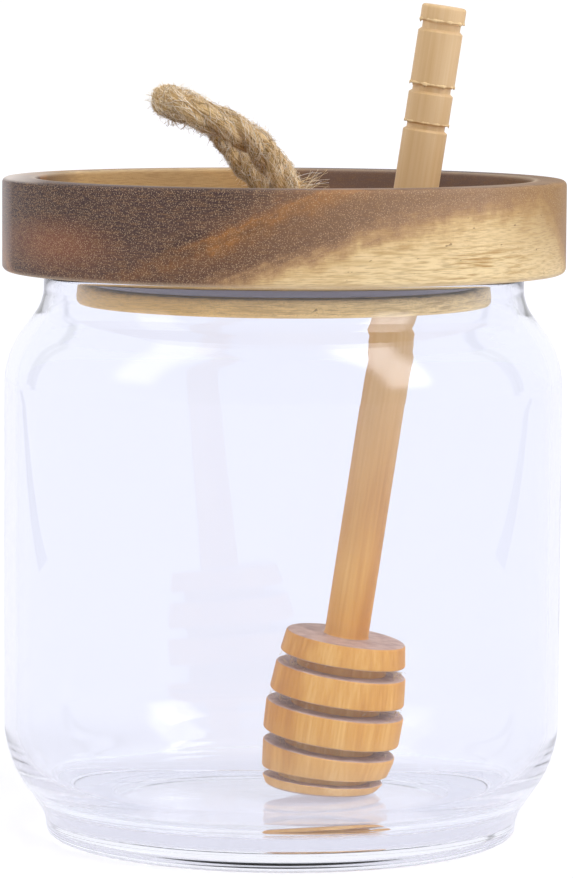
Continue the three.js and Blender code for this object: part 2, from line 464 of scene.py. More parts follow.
def plug_and_tray_tints(tree, at):
    """The plug, pale wood painted brighter and lighter towards the right as painted light, and an even
    brown inside the tray at the right of the back.
    """
    at.plug = add(
        tree,
        "MapRange",
        {"Value": at.z, "From Min": 104, "From Max": 105, "To Min": 0.85, "To Max": 0},
    )
    # Painted light: the plug is brighter than its pale wood, and lighter towards the right, where the
    # light comes from
    across = add(tree, "MapRange", {"Value": at.x, "From Min": -20, "From Max": 30})
    plug_wood_and_light = add(
        tree,
        "Mix",
        {"Factor": across, COLOUR_A: "#f0c272", COLOUR_B: "#ffe2a4"},
        data_type="RGBA",
    )
    inner = add(
        tree,
        "MapRange",
        {"Value": at.radius, "From Min": OUTSIDE_RADIUS, "From Max": INSIDE_RADIUS, "To Max": 0.6},
    )
    rear = add(tree, "MapRange", {"Value": at.y, "From Min": 5, "From Max": 25, "To Max": inner})
    rear_right = add(tree, "MapRange", {"Value": at.x, "From Min": -6, "From Max": 6, "To Max": rear})
    return [(at.plug, plug_wood_and_light), (rear_right, "#8c7263")]


def pore_and_grain_tints(tree, at):
    """Pores, flecks, dashes, streaks, specks and long grain."""
    # Pale pores, about a quarter of a millimetre apart, and hardly any on the inside of the tray
    at.pore = add(tree, "TexVoronoi", {"Vector": at.inmm, "Scale": 1 / 0.27}).outputs["Distance"]
    outer = add(
        tree,
        "MapRange",
        {
            "Value": at.radius,
            "From Min": INSIDE_RADIUS,
            "From Max": OUTSIDE_RADIUS,
            "To Min": 0.2,
            "To Max": 0.8,
        },
    )
    open_pore = add(
        tree,
        "MapRange",
        {"Value": at.pore, "From Min": 0.4, "From Max": 0.12, "To Max": outer},
    )
    pored = add(tree, "Math", {0: open_pore, 1: at.heart}, operation="MULTIPLY")
    # Brown flecks on the plug, 0.3 mm across
    fleck = add(tree, "TexVoronoi", {"Vector": at.inmm, "Scale": 1 / 0.3}).outputs["Distance"]
    plug_fleck = add(tree, "Math", {0: at.plug, 1: 0.45}, operation="MULTIPLY")
    flecked = add(
        tree,
        "MapRange",
        {"Value": fleck, "From Min": 0.45, "From Max": 0.15, "To Max": plug_fleck},
    )
    # Fine level dashes, 2.5 mm long and 0.22 mm wide
    level = add(tree, "Mapping", {"Vector": at.inmm, "Scale": (1 / 2.5, 1 / 2.5, 1 / 0.22)})
    dash = add(tree, "TexNoise", {"Vector": level, "Scale": 1, "Detail": 2})
    dashed = add(tree, "MapRange", {"Value": dash, "From Min": 0.45, "From Max": 0.75, "To Max": 0.5})
    # Tan streaks in the sapwood, 6 mm long and 0.45 mm wide, stronger in a knotty patch at the right
    thin = add(tree, "Mapping", {"Vector": at.inmm, "Scale": (1 / 6, 1 / 6, 1 / 0.45)})
    streak = add(tree, "TexNoise", {"Vector": thin, "Scale": 1, "Detail": 3})
    patchy = add(
        tree,
        "MapRange",
        {"Value": at.wander, "From Min": 0.4, "From Max": 0.6, "To Min": 0.25, "To Max": 0.6},
    )
    near = distance_from(tree, at, middle=(36, -36, 110), reach=(9, 60, 3))
    knotty = add(
        tree,
        "MapRange",
        {"Value": near, "From Min": 0.4, "From Max": 1.4, "To Min": 1, "To Max": patchy},
    )
    strong = add(
        tree,
        "MapRange",
        {"Value": streak, "From Min": 0.48, "From Max": 0.66, "To Max": knotty},
    )
    streaked = add(tree, "Math", {0: strong, 1: at.sap}, operation="MULTIPLY")
    # A few dark specks in the sapwood, 1.6 mm long
    short = add(tree, "Mapping", {"Vector": at.along, "Scale": (1 / 1.6, 1 / 1.6, 1 / 0.7)})
    speck = add(tree, "TexNoise", {"Vector": short, "Scale": 1, "Detail": 1})
    dark = add(tree, "MapRange", {"Value": speck, "From Min": 0.74, "From Max": 0.78, "To Max": 0.7})
    specked = add(tree, "Math", {0: dark, 1: at.sap}, operation="MULTIPLY")
    # Long grain along the lid on the faces that lie flat, 40 mm long and 1 mm wide
    normal = add(tree, "TexCoord", {}).outputs["Normal"]
    facing = add(tree, "SeparateXYZ", {"Vector": normal}).outputs["Z"]
    lying = add(tree, "MapRange", {"Value": facing, "From Min": 0.8, "From Max": 0.95})
    long = add(tree, "Mapping", {"Vector": at.inmm, "Scale": (1 / 40, 1, 1), "Rotation": (0, 0, 0.06)})
    grain = add(
        tree,
        "TexNoise",
        {"Vector": long, "Scale": 1, "Detail": 4, "Roughness": 0.65, "Distortion": 0.4},
    )
    lined = add(tree, "MapRange", {"Value": grain, "From Min": 0.4, "From Max": 0.7, "To Max": 0.75})
    flat_grain = add(tree, "Math", {0: lined, 1: lying}, operation="MULTIPLY")
    return [
        (pored, "#cbab84"),
        (flecked, "#8f6a3c"),
        (dashed, "#8d6a48"),
        (streaked, "#b18c58"),
        (specked, "#7d5f40"),
        (flat_grain, "#59402f"),
    ]


def painted_edge_highlights(tree, at):
    """Painted highlights where light catches the tray's mouth and the lid's foot, and a painted sheen
    and rim light at the left end.
    """
    # Painted highlight on the inner top edge of the tray's mouth, where light catches it, strongest at
    # the front
    frontward = add(tree, "MapRange", {"Value": at.y, "From Max": -30, "To Min": 0.25, "To Max": 0.75})
    mouth = add(
        tree,
        "MapRange",
        {"Value": at.radius, "From Min": RIM_RADIUS, "From Max": MOUTH_RADIUS, "To Max": frontward},
    )
    top = add(tree, "MapRange", {"Value": at.z, "From Min": LID_TOP - 0.5, "From Max": LID_TOP - 0.1})
    mouth_highlight = add(tree, "Math", {0: mouth, 1: top}, operation="MULTIPLY")
    # Painted highlight along the lid's lower outside edge, where light from below catches it
    foot = add(
        tree,
        "MapRange",
        {"Value": at.z, "From Min": LID_BOTTOM + 0.8, "From Max": LID_BOTTOM + 0.2, "To Max": 0.4},
    )
    outside = add(tree, "MapRange", {"Value": at.radius, "From Min": 50, "From Max": 51})
    foot_highlight = add(tree, "Math", {0: foot, 1: outside}, operation="MULTIPLY")
    # Painted sheen on the top of the rim at the left end, and painted rim light down the lid's left end
    left_end = add(tree, "MapRange", {"Value": at.x, "From Min": -43, "From Max": -51, "To Max": 0.7})
    left_rim_sheen = add(tree, "Math", {0: left_end, 1: top}, operation="MULTIPLY")
    left_edge_light = add(tree, "MapRange", {"Value": at.x, "From Min": -50, "From Max": -53, "To Max": 0.35})
    return [(mouth_highlight, "#dcc7a6"), (foot_highlight, "#cdb491"), (left_rim_sheen, "#e2d6ca"), (left_edge_light, "#d6cac2")]


def oiled_acacia():
    """Acacia, turned, sanded and oiled.

    Dark heartwood with fine pale pores lies beside cream sapwood, all with a dull sheen.
    """
    made, tree, shader = started("oiled_acacia", Roughness=0.5, Specular_IOR_Level=0.12)
    at = acacia_places(tree)
    wood = add(tree, "ValToRGB", {"Fac": acacia_layers(tree, at)}, LAYER_COLOURS)
    for tints in (heartwood_tints, plug_and_tray_tints, pore_and_grain_tints, painted_edge_highlights):
        for cover, tint in tints(tree, at):
            wood = add(tree, "Mix", {"Factor": cover, COLOUR_A: wood, COLOUR_B: tint}, data_type="RGBA")
    bump = add(tree, "Bump", {"Height": at.pore, "Strength": 0.25, "Distance": 0.1 * MM})
    connect(tree, shader, {"Base Color": wood, "Normal": bump})
    return made


def moulded_silicone():
    """Moulded silicone rubber: milky, lilac-grey and satin, rippled, with light showing through."""
    made, tree, shader = started(
        "moulded_silicone",
        Base_Color="#9c949c",
        Roughness=0.3,
        IOR=1.41,
        Transmission_Weight=0.4,
    )
    place = add(tree, "TexCoord", {}).outputs["Object"]
    ripple = add(tree, "TexNoise", {"Vector": place, "Scale": 1 / (5 * MM), "Detail": 2})
    bump = add(tree, "Bump", {"Height": ripple, "Strength": 0.5, "Distance": 0.8 * MM})
    connect(tree, shader, {"Normal": bump})
    return made


def turned_beech():
    """Beech, turned and left bare: golden, with fine straight grain, and dull end grain with a painted
    mauve cast of cool light.
    """
    made, tree, shader = started("turned_beech", Roughness=0.5, Specular_IOR_Level=0.3)
    upright = dipper_turn().inverted().to_euler()
    place = add(tree, "TexCoord", {}).outputs["Object"]
    straight = add(tree, "Mapping", {"Vector": place, "Rotation": upright, "Scale": (1 / MM,) * 3})
    height = add(tree, "SeparateXYZ", {"Vector": straight}).outputs["Z"]
    # Grain 0.6 mm wide, in bands 7 mm wide
    fine = add(tree, "Mapping", {"Vector": straight, "Scale": (1 / 0.6, 1 / 0.6, 1 / 30)})
    grain = add(tree, "TexNoise", {"Vector": fine, "Scale": 1, "Detail": 3, "Roughness": 0.6})
    broad = add(tree, "Mapping", {"Vector": straight, "Scale": (1 / 7, 1 / 7, 1 / 40)})
    tone = add(tree, "TexNoise", {"Vector": broad, "Scale": 1, "Detail": 2})
    both = add(tree, "Math", {0: grain, 1: 0.5, 2: tone}, operation="MULTIPLY_ADD")
    stops = [(0.5, "#b8721c"), (0.68, "#ce8c2e"), (0.85, "#dc9f44"), (1.0, "#e7b463")]
    golden = add(tree, "ValToRGB", {"Fac": both}, stops)
    stops = [(0.5, "#cda873"), (0.75, "#d6b485"), (1.0, "#ddc096")]
    pale = add(tree, "ValToRGB", {"Fac": both}, stops)
    # Paler towards the top of the handle and the foot of the head
    upper = add(tree, "MapRange", {"Value": height, "From Min": 42, "From Max": 100})
    lower = add(tree, "MapRange", {"Value": height, "From Min": 22, "From Max": 8, "To Max": 0.45})
    paler = add(tree, "Math", {0: upper, 1: lower}, operation="ADD")
    side = add(tree, "Mix", {"Factor": paler, COLOUR_A: golden, COLOUR_B: pale}, data_type="RGBA")
    # End grain across the axis: its own duller colour, with a painted mauve cast of the cool light on
    # the rib tops
    cross = add(tree, "Attribute", {}, attribute_name="end_grain").outputs["Fac"]
    coarse = add(tree, "Mapping", {"Vector": straight, "Scale": (1 / 2, 1 / 2, 1 / 60)})
    torn = add(tree, "TexNoise", {"Vector": coarse, "Scale": 1, "Detail": 3})
    stops = [(0.35, "#ab8878"), (0.65, "#c7a898")]
    end_grain_cool_lit = add(tree, "ValToRGB", {"Fac": torn}, stops)
    wood = add(tree, "Mix", {"Factor": cross, COLOUR_A: side, COLOUR_B: end_grain_cool_lit}, data_type="RGBA")
    bump = add(tree, "Bump", {"Height": grain, "Strength": 0.2, "Distance": 0.1 * MM})
    connect(tree, shader, {"Base Color": wood, "Normal": bump})
    return made


def torn_beech():
    """Torn beech fibres: pale, dried threads left by the turning tool at the edges of the grooves."""
    made, tree, shader = started("torn_beech", Roughness=0.8, Specular_IOR_Level=0.2)
    each = add(tree, "NewGeometry", {}).outputs["Random Per Island"]
    stops = [(0.0, "#d6b47c"), (0.6, "#e2c494"), (1.0, "#ecd6b0")]
    tone = add(tree, "ValToRGB", {"Fac": each}, stops)
    connect(tree, shader, {"Base Color": tone})
    return made


def laid_jute():
    """Jute, spun and laid as rope: dried golden fibre along each strand, dull, with painted shade at the
    loop's far end.
    """
    made, tree, shader = started("laid_jute", Roughness=0.85, Specular_IOR_Level=0.2)
    place = add(tree, "Attribute", {}, attribute_name="strand_place").outputs["Vector"]
    # Bundles 0.3 mm wide, because single fibres are too fine to show
    drawn = add(tree, "Mapping", {"Vector": place, "Scale": (1 / 0.3, 1 / 0.3, 1 / 5)})
    fibre = add(tree, "TexNoise", {"Vector": drawn, "Scale": 1, "Detail": 4, "Roughness": 0.65})
    stops = [
        (0.3, "#5c4226"),
        (0.41, "#b8945f"),
        (0.53, "#e6c792"),
        (0.64, "#f6e2bc"),
        (0.78, "#fff5e0"),
    ]
    tone = add(tree, "ValToRGB", {"Fac": fibre}, stops)
    # Painted shade: the loop's far end is darker and browner
    whole = add(tree, "TexCoord", {}).outputs["Object"]
    x = add(tree, "SeparateXYZ", {"Vector": whole}).outputs["X"]
    far_end_shade = add(
        tree,
        "MapRange",
        {"Value": x, "From Min": -14 * MM, "From Max": -23 * MM, "To Max": 0.5},
    )
    shaded_tone = add(tree, "Mix", {"Factor": far_end_shade, COLOUR_A: tone, COLOUR_B: "#8a6b45"}, data_type="RGBA")
    bump = add(tree, "Bump", {"Height": fibre, "Strength": 0.8, "Distance": 0.25 * MM})
    connect(tree, shader, {"Base Color": shaded_tone, "Normal": bump})
    return made


def loose_jute():
    """Loose jute fibres: pale straw to golden, each of its own tone."""
    made, tree, shader = started("loose_jute", Roughness=0.7, Specular_IOR_Level=0.3)
    each = add(tree, "NewGeometry", {}).outputs["Random Per Island"]
    stops = [
        (0.0, "#80623a"),
        (0.3, "#d4b47e"),
        (0.6, "#f4e0ba"),
        (0.85, "#fff6e4"),
        (1.0, "#fffdf8"),
    ]
    tone = add(tree, "ValToRGB", {"Fac": each}, stops)
    connect(tree, shader, {"Base Color": tone})
    return made


# Rope


def smooth_line(points, cuts):
    """Points along one smooth curve through the given points."""
    held = [points[0] * 2 - points[1], *points, points[-1] * 2 - points[-2]]
    line = [points[0]]
    for before, start, end, after in zip(held, held[1:], held[2:], held[3:]):
        leaving = start + (end - before) / 6
        coming = end - (after - start) / 6
        line += interpolate_bezier(start, leaving, coming, end, cuts + 2)[1:]
    return line


def carried_frames(line):
    """A place at each point of a line, its Z along the line, that doesn't twist about it."""
    frames = []
    heading = Vector((0, 0, 1))
    turn = heading.to_track_quat("Z", "Y")
    for i, point in enumerate(line):
        ahead = (line[min(i + 1, len(line) - 1)] - line[max(i - 1, 0)]).normalized()
        turn = heading.rotation_difference(ahead) @ turn
        heading = ahead
        frames.append(Matrix.Translation(point) @ turn.to_matrix().to_4x4())
    return frames


def lengths_along(line):
    """The distance from the line's start to each of its points."""
    total = [0.0]
    for start, end in zip(line, line[1:]):
        total.append(total[-1] + (end - start).length)
    return total


STRAND_SIDES = 18
STRAND_CUTS = 9

# A strand's ridges and lumps: how many to a millimetre, how high, and the length of a radian of twist
RIDGES_ACROSS = 1.6
RIDGES_ALONG = 0.12
RIDGE_HEIGHT = 0.2
LUMPS = 0.3
LUMP_HEIGHT = 0.1
FIBRE_TWIST = 9

# Steps in the patterns from one strand to the next, so that no two are alike
RIDGE_STEP = 31
LUMP_STEP = 17
PLACE_STEP = 10


def strand(bm, place_layer, line, number):
    """One strand: a ring of points carried along its own line, with ridges of fibre along it."""
    frames = carried_frames(line)
    along = lengths_along(line)
    ring = bmesh.ops.create_circle(
        bm, cap_ends=True, segments=STRAND_SIDES, radius=STRAND_RADIUS * MM, matrix=frames[0]
    )["verts"]
    edges = list(dict.fromkeys(edge for vert in ring for edge in vert.link_edges))
    rings = [ring]
    for before, after in zip(frames, frames[1:]):
        grown = bmesh.ops.extrude_edge_only(bm, edges=edges)["geom"]
        ring = [item for item in grown if isinstance(item, bmesh.types.BMVert)]
        edges = [
            item
            for item in grown
            if isinstance(item, bmesh.types.BMEdge) and all(vert in ring for vert in item.verts)
        ]
        bmesh.ops.transform(bm, matrix=after @ before.inverted(), verts=ring)
        rings.append(ring)
    bmesh.ops.contextual_create(bm, geom=edges)
    for place, distance, verts in zip(frames, along, rings):
        back = place.inverted()
        for vert in verts:
            local = back @ vert.co / MM
            local.z = distance / MM
            swirl = Matrix.Rotation(distance / MM / FIBRE_TWIST, 3, "Z") @ local
            ridged = (
                swirl.x * RIDGES_ACROSS,
                swirl.y * RIDGES_ACROSS,
                swirl.z * RIDGES_ALONG + RIDGE_STEP * number,
            )
            lumpy = (local.x * LUMPS, local.y * LUMPS, local.z * LUMPS + LUMP_STEP * number)
            rise = noise.noise(ridged) * RIDGE_HEIGHT + noise.noise(lumpy) * LUMP_HEIGHT
            grow = 1 + rise / STRAND_RADIUS
            vert.co = place.translation + (vert.co - place.translation) * grow
            vert[place_layer] = swirl + Vector((PLACE_STEP * number, 0, 0))


def rope_surface(angle):
    """How far the rope's surface is from its middle, at an angle from a strand."""
    part = math.tau / ROPE_STRANDS
    off = (angle + part / 2) % part - part / 2
    across = STRAND_OFFSET * math.sin(off)
    return STRAND_OFFSET * math.cos(off) + math.sqrt(STRAND_RADIUS**2 - across**2)


rope_line = smooth_line([Vector(point) * MM for point in ROPE_ROUTE], STRAND_CUTS)
rope_frames = carried_frames(rope_line)
rope_along = lengths_along(rope_line)


def on_rope(index, angle, lift):
    """A point on the rope's surface, lifted from it, at an angle that turns with the strands."""
    turn = angle + math.tau * rope_along[index] / (ROPE_LAY * MM)
    reach = (rope_surface(angle) + lift) * MM
    return rope_frames[index] @ Vector((reach * math.cos(turn), reach * math.sin(turn), 0))


def rope():
    bm = bmesh.new()
    place_layer = bm.verts.layers.float_vector.new("strand_place")
    for number in range(ROPE_STRANDS):
        phase = math.tau * number / ROPE_STRANDS
        line = []
        for place, distance in zip(rope_frames, rope_along):
            angle = phase + math.tau * distance / (ROPE_LAY * MM)
            offset = Vector((math.cos(angle), math.sin(angle), 0)) * STRAND_OFFSET * MM
            line.append(place @ offset)
        strand(bm, place_layer, line, number)
    bmesh.ops.recalc_face_normals(bm, faces=bm.faces[:])
    made = made_object("jute_rope", bm)
    return finished(made, laid_jute(), "rope_loop", NO_SHARP_EDGE)


THREAD_TAPER = 0.6


def threads(name, runs, thickness, material):
    """Thin threads along runs of points, each thinner towards its tip."""
    curve = bpy.data.curves.new(name, "CURVE")
    curve.dimensions = "3D"
    curve.bevel_depth = thickness / 2 * MM
    curve.bevel_resolution = 0
    for points in runs:
        spline = curve.splines.new("POLY")
        spline.points.add(len(points) - 1)
        for i, (knot, point) in enumerate(zip(spline.points, points)):
            knot.co = (*point, 1)
            knot.radius = 1 - THREAD_TAPER * i / len(points)
    drawn = bpy.data.objects.new(name, curve)
    scene.collection.objects.link(drawn)
    mesh = final_mesh(drawn)
    bpy.data.objects.remove(drawn)
    made = bpy.data.objects.new(name, mesh)
    scene.collection.objects.link(made)
    return finished(made, material, sharp=NO_SHARP_EDGE)


def stray(spread):
    """A small random vector."""
    return Vector([dice.gauss(0, spread) for _ in range(3)])


def somewhere(spans):
    """A random point between the ends that are given for each axis."""
    return Vector([dice.uniform(*span) for span in spans])


def bent_fibre(root, heading, length, bend):
    """A fibre of three points that bends at its middle."""
    middle = root + heading * length / 2
    tip = middle + (heading + stray(bend)).normalized() * length / 2
    return [root, middle, tip]


# Fibres of the rope: how many, how thick, and the least, most and usual length of the fuzz
FUZZ_COUNT = 6000
FUZZ_THICKNESS = 0.05
FUZZ_LENGTH = (0.4, 2.4, 0.8)
FUZZ_ROOT = -0.1
LYING_COUNT = 1900
LYING_THICKNESS = 0.09
LYING_STEPS = 5
CROSSING_COUNT = 420
CROSSING_STEPS = 6
DROOP_COUNT = 40
DROOP_PART = (0.36, 0.6)
DROOP_REACH = [(-1.5, 2.5), (-1.5, 1.5), (-0.6, -1.6)]
DROOP_SAG = 0.8
WISP_COUNT = 45
WISP_ROOTS = [(0.5, 3), (-5.8, -3), (119, 124)]
WISP_TIPS = [(4.5, 8.5), (-6.5, -1), (121.5, 126)]
FIBRE_WANDER = 0.4
FIBRE_CUTS = 2

shown_points = [i for i, point in enumerate(rope_line) if point.z > (TRAY_FLOOR + 0.5) * MM]
rope_first, rope_last = shown_points[0], shown_points[-1]


def fuzz_fibre():
    """A short fibre that stands off the rope."""
    index = dice.randint(rope_first, rope_last)
    root = on_rope(index, dice.uniform(0, math.tau), FUZZ_ROOT)
    out = (root - rope_line[index]).normalized()
    way = rope_frames[index].to_3x3() @ Vector((0, 0, dice.choice((-1, 1))))
    lean = way * dice.uniform(0, 1.4) + out * dice.uniform(0.2, 1) + stray(0.3)
    return bent_fibre(root, lean.normalized(), dice.triangular(*FUZZ_LENGTH) * MM, 0.35)


def laid_fibre(start, span, angle, drift, lifts):
    """A fibre on the rope's surface that drifts round it, with a lift at each of its points."""
    steps = len(lifts) - 1
    points = []
    for step, lift in enumerate(lifts):
        index = min(rope_last, start + span * step // steps)
        points.append(on_rope(index, angle + drift * step / steps, lift))
    return points


def lying_fibre():
    """A fibre along a strand, with its two ends lifted."""
    start = dice.randint(rope_first, rope_last - 12)
    span = dice.randint(5, 16)
    angle = dice.uniform(0, math.tau)
    drift = dice.gauss(0.3, 1.3)
    lift = dice.uniform(0, 0.45)
    lifts = [0.05 + lift * (2 * step / LYING_STEPS - 1) ** 2 for step in range(LYING_STEPS + 1)]
    return laid_fibre(start, span, angle, drift, lifts)


def crossing_fibre():
    """A fibre that crosses the strands and rises and falls."""
    start = dice.randint(rope_first, rope_last - 20)
    span = dice.randint(8, 20)
    angle = dice.uniform(0, math.tau)
    drift = dice.choice((-1, 1)) * dice.uniform(1.2, 3.2)
    lift = dice.uniform(0.1, 0.6)
    lifts = [0.1 + lift * abs(math.sin(step)) for step in range(CROSSING_STEPS + 1)]
    return laid_fibre(start, span, angle, drift, lifts)


def drooping_fibre():
    """A fibre that hangs from the underside of the loop's far end."""
    index = dice.randint(*[int(len(rope_line) * part) for part in DROOP_PART])
    root = rope_line[index] + Vector((0, 0, -ROPE_DIAMETER / 2 * MM))
    tip = root + somewhere(DROOP_REACH) * MM
    middle = (root + tip) / 2 + Vector((0, 0, -DROOP_SAG * MM)) + stray(FIBRE_WANDER) * MM
    return smooth_line([root, middle, tip], FIBRE_CUTS)


def foot_wisp():
    """A frayed fibre at the foot of the rope."""
    root = somewhere(WISP_ROOTS) * MM
    tip = somewhere(WISP_TIPS) * MM
    middle = (root + tip) / 2 + stray(FIBRE_WANDER) * MM
    return smooth_line([root, middle, tip], FIBRE_CUTS)


def rope_fibres():
    """Short fuzz, and longer fibres that lie along the rope, cross it, hang, or fray at its foot."""
    fuzz = [fuzz_fibre() for _ in range(FUZZ_COUNT)]
    longer = [lying_fibre() for _ in range(LYING_COUNT)]
    longer += [crossing_fibre() for _ in range(CROSSING_COUNT)]
    longer += [drooping_fibre() for _ in range(DROOP_COUNT)]
    longer += [foot_wisp() for _ in range(WISP_COUNT)]
    material = loose_jute()
    return [
        threads("jute_fuzz", fuzz, FUZZ_THICKNESS, material),
        threads("jute_fibres", longer, LYING_THICKNESS, material),
    ]


# Dipper


def dipper_turn():
    """The turn from upright to the dipper's lean."""
    axis = Vector((*DIPPER_LEAN, 1)).normalized()
    return Vector((0, 0, 1)).rotation_difference(axis)


def dipper_foot():
    """The middle of the dipper's end, where its lower edge stands just off the jar's floor."""
    axis = Vector((*DIPPER_LEAN, 1)).normalized()
    low_edge = HEAD_RIBS[0][0] - HEAD_END_ROUND / 2
    drop = low_edge * math.sin(math.acos(axis.z))
    return Vector((*DIPPER_FOOT, JAR_FLOOR + CLEARANCE + drop))


def dipper_place():
    """Takes a shape from the upright dipper's own axis to where the dipper leans."""
    return Matrix.Translation(dipper_foot() * MM) @ dipper_turn().to_matrix().to_4x4()


def dipper_corners():
    """The ribs of the head, the handle and its grooves, from the dipper's end up."""
    corners = [(0, 0)]
    height = 0
    for number, (low, high, tall) in enumerate(HEAD_RIBS):
        if number:
            corners += [(HEAD_CORE_RADIUS, height), (HEAD_CORE_RADIUS, height + HEAD_GROOVE_WIDTH)]
            height += HEAD_GROOVE_WIDTH
        corners += [
            (low, height, RIB_ROUND if number else HEAD_END_ROUND),
            (high, height + tall, RIB_ROUND),
        ]
        height += tall
    corners.append((HANDLE_RADIUS, height, HANDLE_ROUND))
    for from_top, width in HANDLE_GROOVES:
        middle = DIPPER_LENGTH - from_top
        flat = HANDLE_GROOVE_FLAT * width / 2
        deep = HANDLE_RADIUS - HANDLE_GROOVE_DEPTH
        corners += [
            (HANDLE_RADIUS, middle - width / 2),
            (deep, middle - flat),
            (deep, middle + flat),
            (HANDLE_RADIUS, middle + width / 2),
        ]
    return corners + [(HANDLE_RADIUS, DIPPER_LENGTH, HANDLE_ROUND), (0, DIPPER_LENGTH)]


# Faces of the head that turn further than this towards the dipper's ends show end grain
END_GRAIN_TURN = 0.7


def head_height():
    """A height just above the head's flat top, from the dipper's end."""
    grooves = HEAD_GROOVE_WIDTH * (len(HEAD_RIBS) - 1)
    return sum(rib[2] for rib in HEAD_RIBS) + grooves + CLEARANCE


def dipper():
    bm = turned(dipper_corners(), DIPPER_STEPS, segments=4)
    end_grain = bm.faces.layers.float.new("end_grain")
    for face in bm.faces:
        on_handle = face.calc_center_median().z / MM > head_height()
        face[end_grain] = 0 if on_handle or abs(face.normal.z) < END_GRAIN_TURN else 1
    bmesh.ops.transform(bm, matrix=dipper_place(), verts=bm.verts[:])
    return finished(made_object("beech_dipper", bm), turned_beech(), "dipper")


# Torn lips: their section, and how far broad and fine bumps make each stand out
LIP_SECTION = [(4.05, 0.4), (4.36, 0.08), (4.33, -0.45), (4.05, -0.18)]
LIP_USUAL = 0.5
LIP_LEAST = 0.05
BROAD_BUMP = 1.6
BROAD_BUMP_SIZE = 1.1
BROAD_BUMP_STEP = 9
FINE_BUMP = 0.7
FINE_BUMPS = 3


def groove_lips():
    """Ragged lips of torn wood along the upper edges of the handle's grooves."""
    material = torn_beech()
    for number, (from_top, width) in enumerate(HANDLE_GROOVES):
        edge = DIPPER_LENGTH - from_top + width / 2
        section = [(radius, edge + rise) for radius, rise in LIP_SECTION]
        bm = turned(section, LIP_STEPS, closed=True)
        for vert in bm.verts:
            around = Vector((vert.co.x, vert.co.y, 0)) / MM
            broad = noise.noise(around / BROAD_BUMP_SIZE + Vector((0, 0, BROAD_BUMP_STEP * number)))
            fine = noise.noise(around * FINE_BUMPS)
            torn = max(LIP_USUAL + BROAD_BUMP * broad + FINE_BUMP * fine, LIP_LEAST)
            proud = around.length - HANDLE_RADIUS
            if proud > 0:
                flat = around.normalized() * (HANDLE_RADIUS + proud * torn) * MM
                vert.co = Vector((flat.x, flat.y, (edge + (vert.co.z / MM - edge) * torn) * MM))
        bmesh.ops.transform(bm, matrix=dipper_place(), verts=bm.verts[:])
        finished(made_object(f"groove_lip_{number}", bm), material, sharp=NO_SHARP_EDGE)


# Burrs in each groove of the head: how many, on which two sides, how long, and their lean in and down
BURR_COUNT = 110
BURR_SIDES = (-0.2, math.pi + 0.5)
BURR_SPREAD = 0.35
BURR_LENGTH = (0.4, 1.4)
BURR_LEAN = 0.3
BURR_THICKNESS = 0.09


def burr(radius, height, angle, length):
    """A torn fibre, from its root on the upright dipper."""
    out = Vector((math.cos(angle), math.sin(angle), 0))
    root = out * radius + Vector((0, 0, height))
    lean = out * -BURR_LEAN + Vector((0, 0, -BURR_LEAN)) + stray(0.4)
    return bent_fibre(root, lean.normalized(), length, 0.5)


def groove_burrs():
    """Torn fibres in the grooves of the head."""
    place = dipper_place()
    runs = []
    height = 0
    for _, rim, tall in HEAD_RIBS[:-1]:
        height += tall
        for _ in range(BURR_COUNT):
            angle = dice.choice(BURR_SIDES) + dice.gauss(0, BURR_SPREAD)
            radius = dice.uniform(HEAD_CORE_RADIUS + 0.5, rim - 0.3)
            level = height + dice.uniform(0, HEAD_GROOVE_WIDTH)
            fibre = burr(radius, level, angle, dice.uniform(*BURR_LENGTH))
            runs.append([place @ (point * MM) for point in fibre])
        height += HEAD_GROOVE_WIDTH
    return threads("beech_burrs", runs, BURR_THICKNESS, torn_beech())


# Jar, lid and seal


def jar():
    made = made_object("jar", turned(JAR_CORNERS, WIDE_STEPS, segments=8))
    return finished(made, soda_lime_glass(), "glass_jar", GLASS_SHARP_EDGE)


def drill(x, y, radius, bottom, top, through):
    """What a drill takes out of the lid: the hole, with its open ends eased."""
    eased = radius + HOLE_CHAMFER + CUT_BEYOND
    far_end = [(0, bottom), (radius, bottom)]
    if through:
        below = bottom - CUT_BEYOND
        far_end = [(0, below), (eased, below), (radius, bottom + HOLE_CHAMFER)]
    mouth = [(radius, top - HOLE_CHAMFER), (eased, top + CUT_BEYOND), (0, top + CUT_BEYOND)]
    bm = turned(far_end + mouth, DRILL_STEPS)
    bmesh.ops.translate(bm, vec=(x * MM, y * MM, 0), verts=bm.verts[:])
    return made_object("drill", bm)


def lid():
    made = made_object("acacia_lid", turned(LID_CORNERS, WIDE_STEPS))
    axis = Vector((*DIPPER_LEAN, 1))
    foot = dipper_foot()
    hole = foot + axis * ((PLUG_BOTTOM + TRAY_FLOOR) / 2 - foot.z)
    drills = [drill(hole.x, hole.y, DIPPER_HOLE_RADIUS, PLUG_BOTTOM, TRAY_FLOOR, True)]
    bottom = TRAY_FLOOR - ROPE_HOLE_DEPTH
    for x, y, _ in (ROPE_ROUTE[0], ROPE_ROUTE[-1]):
        drills.append(drill(x, y, ROPE_HOLE_RADIUS, bottom, TRAY_FLOOR, False))
    for cutter in drills:
        cut = made.modifiers.new(cutter.name, "BOOLEAN")
        cut.operation = "DIFFERENCE"
        cut.object = cutter
    made.data = final_mesh(made)
    made.modifiers.clear()
    for cutter in drills:
        bpy.data.objects.remove(cutter)
    return finished(made, oiled_acacia(), "wood_lid")


def seal():
    made = made_object("silicone_ring", turned(SEAL_CORNERS, WIDE_STEPS, segments=3, closed=True))
    return finished(made, moulded_silicone(), "silicone_seal")


# Floor and light

FLOOR_RADIUS = 6
LILAC_WHITE = "#e7e7f0"
COOL_WHITE = "#f6f7fc"


